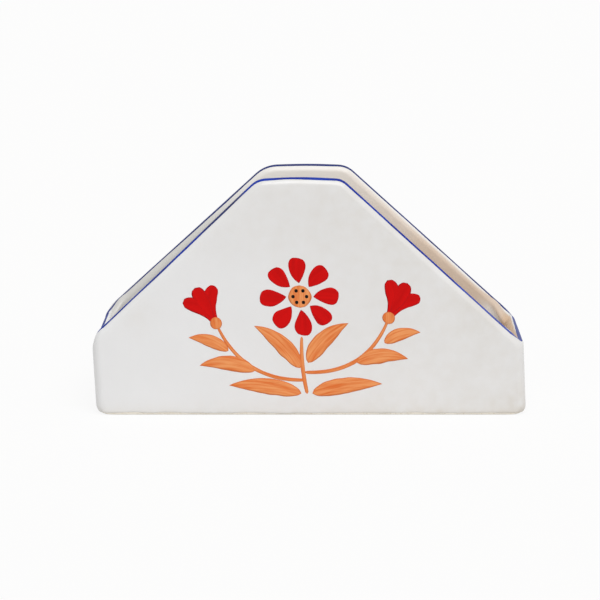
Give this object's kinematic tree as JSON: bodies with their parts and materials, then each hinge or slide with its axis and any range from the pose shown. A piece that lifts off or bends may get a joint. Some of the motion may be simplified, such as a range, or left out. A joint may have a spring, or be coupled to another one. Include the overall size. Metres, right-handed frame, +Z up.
{
  "type": "napkin holder",
  "caption": "Slab-built glazed ceramic napkin holder: tall gable-cut front and back walls and low end walls on a floor slab, open at the top for a stack of folded paper napkins.",
  "frame": {"origin": "middle of the foot, on the surface that the holder stands on", "axes": "+X along the long side to the right of someone facing the painted front, +Y from the front wall to the back wall, +Z up out of the open top"},
  "size_m": [0.1611, 0.048, 0.0888],
  "materials": {
    "white_glaze": "gloss",
    "inside_glaze": "gloss",
    "bare_clay": "matte",
    "cobalt_line": "satin",
    "red_underglaze": "gloss",
    "terracotta_underglaze": "gloss",
    "black_underglaze": "gloss"
  },
  "bodies": {
    "root": {"base_slab": "bare_clay", "front_wall": "white_glaze", "back_wall": "white_glaze", "left_end_wall": "white_glaze", "right_end_wall": "white_glaze", "front_floor_coil": "inside_glaze", "back_floor_coil": "inside_glaze", "left_floor_coil": "inside_glaze", "right_floor_coil": "inside_glaze", "front_left_corner_coil": "inside_glaze", "front_right_corner_coil": "inside_glaze", "back_left_corner_coil": "inside_glaze", "back_right_corner_coil": "inside_glaze"}
  },
  "joints": []
}
